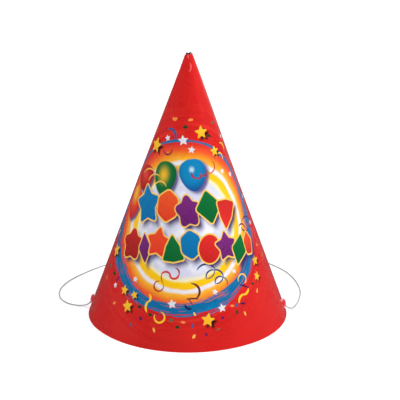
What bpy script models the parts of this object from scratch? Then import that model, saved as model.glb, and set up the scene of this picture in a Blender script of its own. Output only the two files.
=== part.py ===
"""Party hat: a rolled card cone with two punched tabs and an elastic chin cord.

Metres, +Z up, front towards -Y. The hat stands on z = 0 with the cone's axis on Z.
"""

import math

import bpy
from mathutils import Matrix, Vector

MM = 0.001

# Card cone. The flat blank is rolled round once and lapped at the back.
RIM_RADIUS = 62.5 * MM
FULL_HEIGHT = 180.0 * MM  # where the sides would meet in a point
TIP_RADIUS = 2.0 * MM
CARD = 0.35 * MM
LAP_GAP = 0.3 * MM
ROLL_STEPS = 124
ROLL_ROWS = 6
LAP_HALF = math.radians(6.0)
TUCK_START = math.radians(150.0)
TUCK_END = math.radians(174.0)
TRIM_ALLOWANCE = 3.0 * MM

# Glue film between the two laps of the seam.
GLUE_FILM = 0.1 * MM
GLUE_HALF = math.radians(4.5)
GLUE_STEPS = 3
GLUE_TOP_INSET = 8.0 * MM
GLUE_RIM_INSET = 4.0 * MM

# Punched tabs, one each side, folded along their front edge and held open by the cord.
TAB_ABOVE_RIM = 8.4 * MM  # along the slope, to the centre
TAB_RADIUS = 3.0 * MM
HOLE_RADIUS = 3.3 * MM
HINGE_FORWARD = 1.9 * MM
TAB_HINGE_GAP = 0.12 * MM
HOLE_HINGE_GAP = 0.23 * MM
TAB_OPEN = math.radians(19.0)
TAB_SEGMENTS = 48
PUNCH_DEPTH = 4.0 * MM

# Metal barbs that stop the cord from pulling back out of its holes.
BARB_RADIUS = 0.7 * MM
BARB_LENGTH = 11.0 * MM
BARB_FORWARD = 1.0 * MM
BARB_CARD_GAP = 0.3 * MM
BARB_SEGMENTS = 20
BARB_END_BEVEL = 0.25 * MM

# Elastic cord, about 12 in of it between the barbs.
CORD_RADIUS = 0.4 * MM
CORD_SUBSTEPS = 2
CORD_BEVEL_RESOLUTION = 2

# Start of the cord at either hole, in mm from the tab's centre: forward, down the slope, outward.
CORD_AT_HOLE = [
    (0.3, -0.1, -0.5),
    (-0.7, 0.6, -0.1),
    (-1.7, 1.4, 0.29),
    (-2.5, 2.1, 0.57),
    (-3.3, 3.1, 0.72),
]

# The rest of the cord, in mm: down to the table, round behind the hat and up to the other side.
CORD_ON_TABLE = [
    (62.3, 4.4, 4.0),
    (63.9, 6.4, 2.2),
    (65.8, 9.6, 1.1),
    (68.4, 18.6, 0.5),
    (69.7, 30.2, 0.42),
    (69.4, 39.7, 0.42),
    (67.3, 50.4, 0.42),
    (63.8, 60.9, 0.42),
    (58.8, 70.4, 0.42),
    (52.0, 78.8, 0.42),
    (43.8, 86.5, 0.42),
    (34.0, 93.0, 0.42),
    (23.0, 97.7, 0.42),
    (11.5, 100.3, 0.42),
    (0.0, 101.0, 0.42),
    (-11.5, 100.3, 0.42),
    (-23.0, 97.7, 0.42),
    (-34.0, 93.0, 0.42),
    (-44.0, 86.8, 0.42),
    (-53.0, 79.2, 0.42),
    (-62.0, 70.6, 0.42),
    (-70.0, 61.0, 0.42),
    (-77.2, 50.6, 0.42),
    (-82.1, 40.0, 0.42),
    (-84.2, 28.6, 0.42),
    (-82.4, 17.4, 0.42),
    (-77.0, 9.6, 0.42),
    (-70.2, 6.2, 0.6),
    (-65.2, 5.3, 1.5),
    (-62.9, 4.9, 3.0),
]

SIN_A = RIM_RADIUS / math.hypot(RIM_RADIUS, FULL_HEIGHT)
COS_A = FULL_HEIGHT / math.hypot(RIM_RADIUS, FULL_HEIGHT)
SLOPE_LENGTH = math.hypot(RIM_RADIUS, FULL_HEIGHT)
TUCK_DEPTH = CARD + LAP_GAP
SIDES = {"right": 1, "left": -1}


def clear_scene():
    for item in list(bpy.data.objects):
        bpy.data.objects.remove(item, do_unlink=True)
    for group in list(bpy.data.collections):
        bpy.data.collections.remove(group)


def new_collection(name):
    group = bpy.data.collections.new(name)
    bpy.context.scene.collection.children.link(group)
    return group


def new_material(name, colour, roughness, metallic=0.0):
    material = bpy.data.materials.new(name)
    material.use_nodes = True
    shader = material.node_tree.nodes["Principled BSDF"]
    shader.inputs["Base Color"].default_value = (*colour, 1.0)
    shader.inputs["Roughness"].default_value = roughness
    shader.inputs["Metallic"].default_value = metallic
    material.diffuse_color = (*colour, 1.0)
    return material


def file_under(item, group, name):
    """Name an object and its mesh, and put it in one collection only."""
    item.name = name
    item.data.name = name
    for old in list(item.users_collection):
        old.objects.unlink(item)
    group.objects.link(item)
    return item


def as_cutter(item):
    item.hide_render = True
    item.display_type = "WIRE"
    return item


def smooth_step(value, low, high):
    t = min(max((value - low) / (high - low), 0.0), 1.0)
    return t * t * (3.0 - 2.0 * t)


def cone_point(azimuth, slope, lift=0.0):
    """A point on the cone: azimuth from the front towards +X, slope distance from the apex."""
    radius = slope * SIN_A + lift * COS_A
    height = FULL_HEIGHT - slope * COS_A + lift * SIN_A
    return Vector((radius * math.sin(azimuth), -radius * math.cos(azimuth), height))


def rolled_grid(steps, rows, place):
    """A grid primitive rolled up: place(across, along) gives each corner, both from 0 to 1."""
    bpy.ops.mesh.primitive_grid_add(x_subdivisions=steps, y_subdivisions=rows, size=1.0)
    item = bpy.context.object
    for vertex in item.data.vertices:
        vertex.co = place(vertex.co.x + 0.5, 0.5 - vertex.co.y)
    return item


def thicken(item, thickness):
    """Solidify inwards from the outer face, and turn every face outwards."""
    shell = item.modifiers.new("thickness", "SOLIDIFY")
    shell.thickness = thickness
    shell.offset = -1.0
    return item


def subtract(item, cutter):
    cut = item.modifiers.new("cut_" + cutter.name, "BOOLEAN")
    cut.operation = "DIFFERENCE"
    cut.solver = "EXACT"
    cut.object = cutter


def side_frame(side):
    """Axes at a tab's centre on the outer face: X forward, Z out of the card, Y = Z x X."""
    outward = Vector((side * COS_A, 0.0, SIN_A))
    forward = Vector((0.0, -1.0, 0.0))
    across = outward.cross(forward)
    turn = Matrix((forward, across, outward)).transposed().to_4x4()
    centre = cone_point(side * math.pi / 2.0, SLOPE_LENGTH - TAB_ABOVE_RIM)
    return Matrix.Translation(centre) @ turn


def from_hole(side, offset_mm):
    """World point from (forward, down the slope, outward) in mm at a tab's centre."""
    forward, down, outward = (value * MM for value in offset_mm)
    local = Vector((forward, side * down, outward))
    return side_frame(side) @ local


def flat_sided_disc(radius, flat_at, depth):
    """A disc whose rim is pushed in to a straight edge at x = flat_at."""
    bpy.ops.mesh.primitive_cylinder_add(vertices=TAB_SEGMENTS, radius=radius, depth=depth)
    item = bpy.context.object
    for vertex in item.data.vertices:
        vertex.co.x = min(vertex.co.x, flat_at)
    return item


def make_cone(group, cutters, material):
    top = TIP_RADIUS / SIN_A
    bottom = SLOPE_LENGTH + TRIM_ALLOWANCE
    half_roll = math.pi + LAP_HALF

    def place(across, along):
        azimuth = (2.0 * across - 1.0) * half_roll
        tuck = TUCK_DEPTH * smooth_step(-azimuth, TUCK_START, TUCK_END)
        return cone_point(azimuth, top + along * (bottom - top), -tuck)

    cone = thicken(rolled_grid(ROLL_STEPS, ROLL_ROWS, place), CARD)
    file_under(cone, group, "cone_card")
    cone.data.materials.append(material)

    bpy.ops.mesh.primitive_cube_add(size=1.0)
    below = file_under(bpy.context.object, cutters, "table_trim")
    reach = 4.0 * RIM_RADIUS
    depth = 20.0 * MM
    below.data.transform(Matrix.Diagonal((reach, reach, depth, 1.0)))
    below.location = (0.0, 0.0, -depth / 2.0)
    subtract(cone, as_cutter(below))

    for label, side in SIDES.items():
        punch = flat_sided_disc(HOLE_RADIUS, HINGE_FORWARD + HOLE_HINGE_GAP, PUNCH_DEPTH)
        punch.matrix_world = side_frame(side)
        file_under(punch, cutters, label + "_punch")
        subtract(cone, as_cutter(punch))


def make_seam_glue(group, material):
    top = TIP_RADIUS / SIN_A + GLUE_TOP_INSET
    bottom = SLOPE_LENGTH - GLUE_RIM_INSET
    inset = CARD + (LAP_GAP - GLUE_FILM) / 2.0

    def place(across, along):
        azimuth = math.pi + (2.0 * across - 1.0) * GLUE_HALF
        return cone_point(azimuth, top + along * (bottom - top), -inset)

    glue = thicken(rolled_grid(GLUE_STEPS, ROLL_ROWS, place), GLUE_FILM)
    file_under(glue, group, "seam_glue")
    glue.data.materials.append(material)


def make_tab(label, side, group, material):
    """A tab with its origin on the fold, turned out to where the cord holds it."""
    tab = flat_sided_disc(TAB_RADIUS, HINGE_FORWARD - TAB_HINGE_GAP, CARD)
    fold = Vector((HINGE_FORWARD, 0.0, -CARD / 2.0))
    frame = side_frame(side)
    tab.data.transform(Matrix.Translation((-fold.x, 0.0, 0.0)))
    tab.data.transform(Matrix.Rotation(TAB_OPEN, 4, "Y"))
    tab.data.transform(frame.to_3x3().to_4x4())
    tab.location = frame @ fold
    file_under(tab, group, label + "_tab")
    tab.data.materials.append(material)


def make_barb(label, side, group, material):
    bpy.ops.mesh.primitive_cylinder_add(
        vertices=BARB_SEGMENTS, radius=BARB_RADIUS, depth=BARB_LENGTH
    )
    barb = bpy.context.object
    barb.data.transform(Matrix.Rotation(math.pi / 2.0, 4, "X"))
    barb.data.transform(side_frame(side).to_3x3().to_4x4())
    inward = CARD + BARB_CARD_GAP + BARB_RADIUS
    barb.location = side_frame(side) @ Vector((BARB_FORWARD, 0.0, -inward))
    rounding = barb.modifiers.new("end_rounding", "BEVEL")
    rounding.width = BARB_END_BEVEL
    rounding.segments = 2
    rounding.limit_method = "ANGLE"
    bpy.ops.object.shade_smooth()
    file_under(barb, group, label + "_barb")
    barb.data.materials.append(material)


def cord_route():
    """The cord's own points, from the right hole round the back to the left hole."""
    right = [from_hole(SIDES["right"], offset) for offset in CORD_AT_HOLE]
    left = [from_hole(SIDES["left"], offset) for offset in CORD_AT_HOLE]
    return right + [Vector(point) * MM for point in CORD_ON_TABLE] + left[::-1]


def smooth_through(points, substeps):
    """Catmull-Rom curve through the points, sampled evenly in each span."""
    first = points[0] * 2.0 - points[1]
    last = points[-1] * 2.0 - points[-2]
    padded = [first, *points, last]
    route = []
    for before, start, end, after in zip(padded, padded[1:], padded[2:], padded[3:]):
        for step in range(substeps):
            t = step / substeps
            route.append(
                0.5
                * (
                    2.0 * start
                    + (end - before) * t
                    + (2.0 * before - 5.0 * start + 4.0 * end - after) * t**2
                    + (3.0 * start - before - 3.0 * end + after) * t**3
                )
            )
    route.append(points[-1])
    return route


def make_cord(group, material):
    route = smooth_through(cord_route(), CORD_SUBSTEPS)
    curve = bpy.data.curves.new("elastic_cord", "CURVE")
    curve.dimensions = "3D"
    curve.bevel_depth = CORD_RADIUS
    curve.bevel_resolution = CORD_BEVEL_RESOLUTION
    curve.use_fill_caps = True
    spline = curve.splines.new("POLY")
    spline.points.add(len(route) - 1)
    for point, place in zip(spline.points, route):
        point.co = (*place, 1.0)
    spline.use_smooth = True
    cord = bpy.data.objects.new("elastic_cord", curve)
    group.objects.link(cord)
    curve.materials.append(material)


def build():
    clear_scene()
    parts = new_collection("party_hat")
    cutters = new_collection("party_hat_cutters")
    make_cone(parts, cutters, new_material("card_print", (0.60, 0.02, 0.02), 0.3))
    make_seam_glue(parts, new_material("hot_glue", (0.85, 0.80, 0.68), 0.35))
    tab_material = new_material("tab_print", (0.62, 0.03, 0.03), 0.3)
    barb_material = new_material("barb_metal", (0.62, 0.63, 0.65), 0.3, metallic=1.0)
    for label, side in SIDES.items():
        make_tab(label, side, parts, tab_material)
        make_barb(label, side, parts, barb_material)
    make_cord(parts, new_material("elastic", (0.86, 0.86, 0.85), 0.7))


build()
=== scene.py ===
"""Party hat: the printed card cone, its two punched tabs, and the chin cord with its barbs."""
import math

import bmesh
import bpy
from mathutils import Matrix, Vector, noise


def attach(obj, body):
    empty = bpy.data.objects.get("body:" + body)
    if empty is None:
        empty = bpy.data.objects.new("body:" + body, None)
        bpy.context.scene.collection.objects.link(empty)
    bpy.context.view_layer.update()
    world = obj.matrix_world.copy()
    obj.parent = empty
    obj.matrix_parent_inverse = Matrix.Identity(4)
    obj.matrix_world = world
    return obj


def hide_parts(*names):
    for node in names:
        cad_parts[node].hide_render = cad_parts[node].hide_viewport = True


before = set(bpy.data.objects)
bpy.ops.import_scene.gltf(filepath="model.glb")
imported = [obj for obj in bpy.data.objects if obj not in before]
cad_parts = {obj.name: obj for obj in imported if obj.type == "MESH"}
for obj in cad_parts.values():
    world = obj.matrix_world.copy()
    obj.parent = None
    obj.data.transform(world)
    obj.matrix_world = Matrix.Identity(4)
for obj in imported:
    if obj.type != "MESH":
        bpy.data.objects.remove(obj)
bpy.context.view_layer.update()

bpy.ops.object.select_all(action="DESELECT")

MM = 0.001

# Card cone
RIM_RADIUS = 62.5 * MM
FULL_HEIGHT = 180.0 * MM
SLOPE = math.hypot(RIM_RADIUS, FULL_HEIGHT)
SIN_A = RIM_RADIUS / SLOPE
COS_A = FULL_HEIGHT / SLOPE
TIP_SLOPE = 2.0 * MM / SIN_A
CARD = 0.35 * MM
CARD_STEPS = 310
CARD_ROWS = 90
TIP_LEAN = 0.8 * MM
LEAN_FROM = 85.0 * MM  # height where the lean begins
LEAN_TO = 165.0 * MM
TUCK_DEPTH = 0.65 * MM
LAP_HALF = math.radians(6.0)
TUCK_START = math.radians(150.0)
TUCK_END = math.radians(174.0)

# Punched tabs
TAB_ABOVE_RIM = 8.4 * MM
TAB_RADIUS = 3.1 * MM
HOLE_RADIUS = 3.25 * MM
HINGE_FORWARD = 1.9 * MM
TAB_OPEN = math.radians(19.0)
SIDES = {"right": 1, "left": -1}

# The elastic and its barbs
CORD_DIAMETER = 0.8 * MM
CORD_LENGTH = 0.311
CORD_AT_HOLE = [
    (0.3, -0.1, -0.5),
    (-0.7, 0.6, -0.1),
    (-1.7, 1.4, 0.29),
    (-2.5, 2.1, 0.57),
    (-3.3, 3.1, 0.72),
]
CORD_ON_TABLE = [
    (62.3, 4.4, 4.0),
    (63.9, 6.4, 2.2),
    (65.8, 9.6, 1.1),
    (68.4, 18.6, 0.5),
    (69.7, 30.2, 0.42),
    (69.4, 39.7, 0.42),
    (67.3, 50.4, 0.42),
    (63.8, 60.9, 0.42),
    (58.8, 70.4, 0.42),
    (52.0, 78.8, 0.42),
    (43.8, 86.5, 0.42),
    (34.0, 93.0, 0.42),
    (23.0, 97.7, 0.42),
    (11.5, 100.3, 0.42),
    (0.0, 101.0, 0.42),
    (-11.5, 100.3, 0.42),
    (-23.0, 97.7, 0.42),
    (-34.0, 93.0, 0.42),
    (-44.0, 86.8, 0.42),
    (-53.0, 79.2, 0.42),
    (-62.0, 70.6, 0.42),
    (-70.0, 61.0, 0.42),
    (-77.2, 50.6, 0.42),
    (-82.1, 40.0, 0.42),
    (-84.2, 28.6, 0.42),
    (-82.4, 17.4, 0.42),
    (-77.0, 9.6, 0.42),
    (-70.2, 6.2, 0.6),
    (-65.2, 5.3, 1.5),
    (-62.9, 4.9, 3.0),
]

# The printed picture is laid out in mm on the flat blank, from the middle of the painted ring.
BLANK_WIDTH = 400.0
RING_FROM_APEX = 112.8
PICTURE_SHIFT = 1.2


# ---------------------------------------------------------------- places on the cone


def cone_point(azimuth, slope, lift=0.0):
    """A point on the cone: azimuth from the front towards +X, slope distance from the apex."""
    radius = slope * SIN_A + lift * COS_A
    height = FULL_HEIGHT - slope * COS_A + lift * SIN_A
    return Vector((radius * math.sin(azimuth), -radius * math.cos(azimuth), height))


def smooth_step(value, low, high):
    t = min(max((value - low) / (high - low), 0.0), 1.0)
    return t * t * (3.0 - 2.0 * t)


def side_frame(side):
    """Axes at a tab's centre on the outer face: X forward, Z out of the card, Y = Z x X."""
    outward = Vector((side * COS_A, 0.0, SIN_A))
    forward = Vector((0.0, -1.0, 0.0))
    turn = Matrix((forward, outward.cross(forward), outward)).transposed().to_4x4()
    return Matrix.Translation(cone_point(side * math.pi / 2.0, SLOPE - TAB_ABOVE_RIM)) @ turn


def from_hole(side, offset_mm):
    forward, down, outward = (value * MM for value in offset_mm)
    return side_frame(side) @ Vector((forward, side * down, outward))


# ---------------------------------------------------------------- camera


def place_camera():
    azimuth = math.radians(3.5)
    elevation = math.radians(21.6)
    distance = 2.43
    lens = 350.0
    aim = Vector((7.6 * MM * math.cos(azimuth), 7.6 * MM * math.sin(azimuth), 76.6 * MM))
    back = Vector(
        (
            math.sin(azimuth) * math.cos(elevation),
            -math.cos(azimuth) * math.cos(elevation),
            math.sin(elevation),
        )
    )
    data = bpy.data.cameras.new("camera")
    data.lens = lens
    data.sensor_width = 36.0
    data.clip_end = 50.0
    camera = bpy.data.objects.new("camera", data)
    camera.location = aim + back * distance
    camera.rotation_euler = (-back).to_track_quat("-Z", "Y").to_euler()
    bpy.context.scene.collection.objects.link(camera)
    bpy.context.scene.camera = camera


# ---------------------------------------------------------------- shader building


def ink(red, green, blue):
    """A printer's colour, as 0 to 255 values, made linear."""

    def linear(value):
        value /= 255.0
        return value / 12.92 if value <= 0.04045 else ((value + 0.055) / 1.055) ** 2.4

    return (linear(red), linear(green), linear(blue), 1.0)


def feed(tree, socket, value):
    if isinstance(value, bpy.types.NodeSocket):
        tree.links.new(value, socket)
    else:
        socket.default_value = value


def node(tree, kind, inputs=None, **settings):
    """Add a shader node. A socket given as an input's value is linked, anything else is set."""
    item = tree.nodes.new(kind)
    for key, value in settings.items():
        setattr(item, key, value)
    for key, value in (inputs or {}).items():
        feed(tree, item.inputs[key], value)
    return item


def maths(tree, operation, first, second=None, third=None, clamp=False):
    item = node(tree, "ShaderNodeMath", {0: first}, operation=operation, use_clamp=clamp)
    if second is not None:
        feed(tree, item.inputs[1], second)
    if third is not None:
        feed(tree, item.inputs[2], third)
    return item.outputs[0]


def ramp(tree, value, low, high, to_low=0.0, to_high=1.0, smooth=False):
    return node(
        tree,
        "ShaderNodeMapRange",
        {"Value": value, "From Min": low, "From Max": high, "To Min": to_low, "To Max": to_high},
        interpolation_type="SMOOTHSTEP" if smooth else "LINEAR",
    ).outputs["Result"]


def mix_ink(tree, mask, under, over, blend="MIX"):
    item = node(tree, "ShaderNodeMix", {0: mask}, data_type="RGBA", blend_type=blend)
    feed(tree, item.inputs[6], under)
    feed(tree, item.inputs[7], over)
    return item.outputs[2]


def mapped(tree, point, place=(0.0, 0.0), turn=0.0, size=(1.0, 1.0)):
    """The point seen from a motif at place, turned by turn degrees and scaled to unit size."""
    return node(
        tree,
        "ShaderNodeMapping",
        {
            "Vector": point,
            "Location": (place[0], place[1], 0.0),
            "Rotation": (0.0, 0.0, math.radians(turn)),
            "Scale": (size[0], size[1], 1.0),
        },
        vector_type="TEXTURE",
    ).outputs[0]


def length_of(tree, vector):
    return node(tree, "ShaderNodeVectorMath", {0: vector}, operation="LENGTH").outputs["Value"]


def part_of(tree, point, axis):
    """How far a point lies along an axis."""
    item = node(tree, "ShaderNodeVectorMath", {0: point, 1: axis}, operation="DOT_PRODUCT")
    return item.outputs["Value"]


def sideways(tree, point):
    return part_of(tree, point, (1.0, 0.0, 0.0))


def upward(tree, point):
    return part_of(tree, point, (0.0, 1.0, 0.0))


def bearing(tree, point):
    """The turn from straight up to a point, clockwise, in radians."""
    return maths(tree, "ARCTAN2", sideways(tree, point), upward(tree, point))


def times(tree, first, second):
    return maths(tree, "MULTIPLY", first, second)


def joined(tree, across, up):
    return node(tree, "ShaderNodeCombineXYZ", {0: across, 1: up}).outputs[0]


def noise_at(tree, vector, scale, detail=2.0, roughness=0.5):
    return node(
        tree,
        "ShaderNodeTexNoise",
        {"Vector": vector, "Scale": scale, "Detail": detail, "Roughness": roughness},
    ).outputs["Fac"]


def after(tree, point, colour):
    """The same point, worked out only once the colour is, so few motifs are in hand at once."""
    return node(
        tree,
        "ShaderNodeVectorMath",
        {0: colour, 1: (1e-9, 1e-9, 1e-9), 2: point},
        operation="MULTIPLY_ADD",
    ).outputs[0]


def new_group(name, inputs, outputs):
    """A shader node group with named sockets: (name, kind, default) in, (name, kind) out."""
    kinds = {"value": "NodeSocketFloat", "point": "NodeSocketVector", "colour": "NodeSocketColor"}
    tree = bpy.data.node_groups.new(name, "ShaderNodeTree")
    for label, kind, default in inputs:
        socket = tree.interface.new_socket(label, in_out="INPUT", socket_type=kinds[kind])
        if default is not None:
            socket.default_value = default
    for label, kind in outputs:
        tree.interface.new_socket(label, in_out="OUTPUT", socket_type=kinds[kind])
    return tree, tree.nodes.new("NodeGroupInput").outputs


def close_group(tree, **values):
    end = tree.nodes.new("NodeGroupOutput")
    for label, value in values.items():
        tree.links.new(value, end.inputs[label.replace("_", " ")])
    return tree


def use(tree, group, **inputs):
    item = tree.nodes.new("ShaderNodeGroup")
    item.node_tree = group
    for label, value in inputs.items():
        feed(tree, item.inputs[label.replace("_", " ")], value)
    return item.outputs[0]


# ---------------------------------------------------------------- shapes in the print


def make_pointed_shape():
    """Stars and straight-sided shapes of unit size: distance to the edge, below 0 inside."""
    tree, given = new_group(
        "pointed_shape",
        [
            ("Point", "point", None),
            ("Half Angle", "value", 0.628),
            ("Lean", "value", 0.0),
            ("Reach", "value", 1.0),
            ("Blunt", "value", 0.93),
        ],
        [("Distance", "value")],
    )
    angle = bearing(tree, given["Point"])
    radius = length_of(tree, given["Point"])
    folded = maths(tree, "PINGPONG", angle, given["Half Angle"])
    across = maths(tree, "COSINE", maths(tree, "SUBTRACT", folded, given["Lean"]))
    inset = times(tree, given["Reach"], -1.0)
    side = maths(tree, "MULTIPLY_ADD", across, radius, inset)
    tip = maths(tree, "SUBTRACT", radius, given["Blunt"])
    return close_group(tree, Distance=maths(tree, "SMOOTH_MAX", side, tip, 0.06))


def make_petal_shape():
    tree, given = new_group(
        "petal_shape",
        [("Point", "point", None), ("Petals", "value", 5.0), ("Depth", "value", 0.12)],
        [("Distance", "value")],
    )
    angle = bearing(tree, given["Point"])
    wave = maths(tree, "COSINE", times(tree, angle, given["Petals"]))
    edge = maths(tree, "MULTIPLY_ADD", maths(tree, "SUBTRACT", wave, 1.0), given["Depth"], 1.0)
    return close_group(
        tree, Distance=maths(tree, "SUBTRACT", length_of(tree, given["Point"]), edge)
    )


def make_curl_stroke():
    """A tapering curl of ribbon: part of a circle, in mm, centred on straight up."""
    tree, given = new_group(
        "curl_stroke",
        [
            ("Point", "point", None),
            ("Radius", "value", 3.0),
            ("Half Width", "value", 0.4),
            ("Half Sweep", "value", 2.0),
        ],
        [("Distance", "value")],
    )
    angle = bearing(tree, given["Point"])
    along = maths(tree, "DIVIDE", angle, given["Half Sweep"])
    taper = maths(tree, "SUBTRACT", 1.0, times(tree, along, along), clamp=True)
    width = times(tree, maths(tree, "SQRT", taper), given["Half Width"])
    off_line = maths(
        tree,
        "ABSOLUTE",
        maths(tree, "SUBTRACT", length_of(tree, given["Point"]), given["Radius"]),
    )
    beyond = maths(tree, "LESS_THAN", taper, 0.001)
    return close_group(
        tree,
        Distance=maths(tree, "ADD", maths(tree, "SUBTRACT", off_line, width), beyond),
    )


def make_flat_print():
    """One ink laid over the ground where the distance, in mm, is below 0."""
    tree, given = new_group(
        "flat_print",
        [
            ("Ground", "colour", None),
            ("Distance", "value", 1.0),
            ("Ink", "colour", None),
            ("Softness", "value", 0.12),
        ],
        [("Color", "colour")],
    )
    low = times(tree, given["Softness"], -1.0)
    mask = ramp(tree, given["Distance"], given["Softness"], low)
    return close_group(tree, Color=mix_ink(tree, mask, given["Ground"], given["Ink"]))


def make_raised_print(flat_print):
    """A motif with a soft drop shadow, an outline ink and a body ink that darkens downwards."""
    tree, given = new_group(
        "raised_print",
        [
            ("Ground", "colour", None),
            ("Distance", "value", 1.0),
            ("Shadow Distance", "value", 1.0),
            ("Shade", "value", 0.0),
            ("Body Ink", "colour", None),
            ("Low Ink", "colour", None),
            ("Line Ink", "colour", None),
            ("Line Width", "value", 0.7),
            ("Shadow Ink", "colour", None),
            ("Shadow Blur", "value", 0.8),
            ("Shadow Strength", "value", 0.9),
        ],
        [("Color", "colour")],
    )
    low = times(tree, given["Shadow Blur"], -1.0)
    shade = ramp(tree, given["Shadow Distance"], given["Shadow Blur"], low, smooth=True)
    shade = times(tree, shade, given["Shadow Strength"])
    ground = mix_ink(tree, shade, given["Ground"], given["Shadow Ink"])
    ground = use(
        tree,
        flat_print,
        Ground=ground,
        Distance=maths(tree, "SUBTRACT", given["Distance"], given["Line Width"]),
        Ink=given["Line Ink"],
    )
    body = mix_ink(tree, ramp(tree, given["Shade"], -1.0, 1.0), given["Low Ink"], given["Body Ink"])
    return close_group(
        tree, Color=use(tree, flat_print, Ground=ground, Distance=given["Distance"], Ink=body)
    )


def make_balloon_print():
    """A balloon of unit size with a soft glow, a darker rim and a violet shadow, low and right."""
    tree, given = new_group(
        "balloon_print",
        [
            ("Ground", "colour", None),
            ("Point", "point", None),
            ("Body Ink", "colour", None),
            ("Dark Ink", "colour", None),
            ("Glow Ink", "colour", None),
            ("Glow Place", "point", (-0.1, 0.4, 0.0)),
            ("Glow Size", "value", 0.5),
        ],
        [("Color", "colour")],
    )

    def egg(point):
        height = upward(tree, point)
        pinch = maths(tree, "MULTIPLY_ADD", height, -0.22, 1.0)
        wide = times(tree, sideways(tree, point), pinch)
        return maths(tree, "SUBTRACT", length_of(tree, joined(tree, wide, height)), 1.0)

    def spread(place):
        gap = node(
            tree, "ShaderNodeVectorMath", {0: given["Point"], 1: place}, operation="DISTANCE"
        )
        return gap.outputs["Value"]

    cast = {0: given["Point"], 1: (0.22, -0.16, 0.0)}
    shadow_point = node(tree, "ShaderNodeVectorMath", cast, operation="SUBTRACT").outputs[0]
    shade = ramp(tree, egg(shadow_point), 0.22, -0.16, to_high=0.9, smooth=True)
    ground = mix_ink(tree, shade, given["Ground"], ink(74, 48, 128))
    dark = ramp(tree, spread(given["Glow Place"]), 0.55, 1.6, smooth=True)
    body = mix_ink(tree, dark, given["Body Ink"], given["Dark Ink"])
    from_glow = spread(given["Glow Place"])
    glow = ramp(tree, from_glow, given["Glow Size"], 0.0, to_high=0.95, smooth=True)
    body = mix_ink(tree, glow, body, given["Glow Ink"])
    mask = ramp(tree, egg(given["Point"]), 0.02, -0.02)
    return close_group(tree, Color=mix_ink(tree, mask, ground, body))


def star_edge(points, waist):
    """Half angle, lean and reach of the straight edge from a point to the waist beside it."""
    half = math.pi / points
    across = 1.0 - waist * math.cos(half)
    along = waist * math.sin(half)
    long = math.hypot(across, along)
    return {
        "Half_Angle": half,
        "Lean": math.atan2(across, along),
        "Reach": along / long,
    }


def blend_steps(tree, value, steps):
    """A run of colours over a value from 0 to 1."""
    item = node(tree, "ShaderNodeValToRGB", {0: value})
    stops = item.color_ramp.elements
    while len(stops) < len(steps):
        stops.new(0.5)
    for stop, (place, colour) in zip(stops, steps):
        stop.position = place
        stop.color = colour
    return item.outputs[0]


# ---------------------------------------------------------------- the printed picture

RED = ink(210, 27, 25)
GOLD = ink(255, 206, 50)
DEEP_GOLD = ink(246, 172, 28)
WHITE = ink(226, 227, 234)
BLACK = ink(34, 10, 10)
BLUE = ink(0, 108, 162)
SKY = ink(0, 138, 196)
GREEN = ink(2, 118, 56)
DARK_GREEN = ink(28, 66, 30)
VIOLET = ink(126, 40, 124)
CRIMSON = ink(196, 34, 30)
LINE_GOLD = ink(255, 205, 96)

ARTWORK_INKS = {
    "grn": ink(96, 104, 70),
    "dgrn": DARK_GREEN,
    "pur": ink(98, 30, 92),
    "ora": ink(250, 150, 70),
    "yel": ink(252, 196, 84),
    "blu": ink(30, 90, 150),
    "wht": WHITE,
    "red": ink(206, 40, 44),
    "navy": ink(22, 68, 128),
    "plum": ink(104, 30, 62),
    "gold": GOLD,
    "crim": ink(176, 36, 42),
    "rib": ink(214, 58, 52),
    # Used only for the painted highlights near the tip.
    "tip_highlight_pink": ink(246, 132, 122),
    "ink": ink(28, 30, 74),
    "teal": ink(44, 112, 104),
}

# Motifs the renderer works on at a time
BATCH = 10

# The x and y in CONFETTI, GOLD_STARS and WHITE_STARS, and every arc in CURLS, were worked out by a
# program.
# Those in BALLOONS and BIG_SHAPES started from its output and were then moved.

# place, turn in degrees, half size, body, dark and glow inks, glow's place and size in the balloon
BALLOONS = [
    (
        (-38.6, 14.6), -14, (6.6, 10.4),
        ink(236, 78, 40), ink(206, 30, 40), ink(252, 200, 50), (-0.2, 0.55, 0.0), 0.9,
    ),
    (
        (-29.0, 30.0), -12, (7.2, 8.0),
        CRIMSON, ink(128, 16, 34), ink(232, 70, 60), (-0.1, 0.2, 0.0), 0.7,
    ),
    (
        (-12.2, 29.6), -6, (7.4, 10.6),
        GREEN, ink(0, 70, 36), ink(250, 190, 40), (-0.12, 0.2, 0.0), 0.75,
    ),
    (
        (6.0, 32.0), 10, (8.2, 10.0),
        ink(6, 134, 190), ink(12, 58, 136), ink(206, 234, 246), (-0.04, 0.34, 0.0), 0.3,
    ),
]

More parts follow.
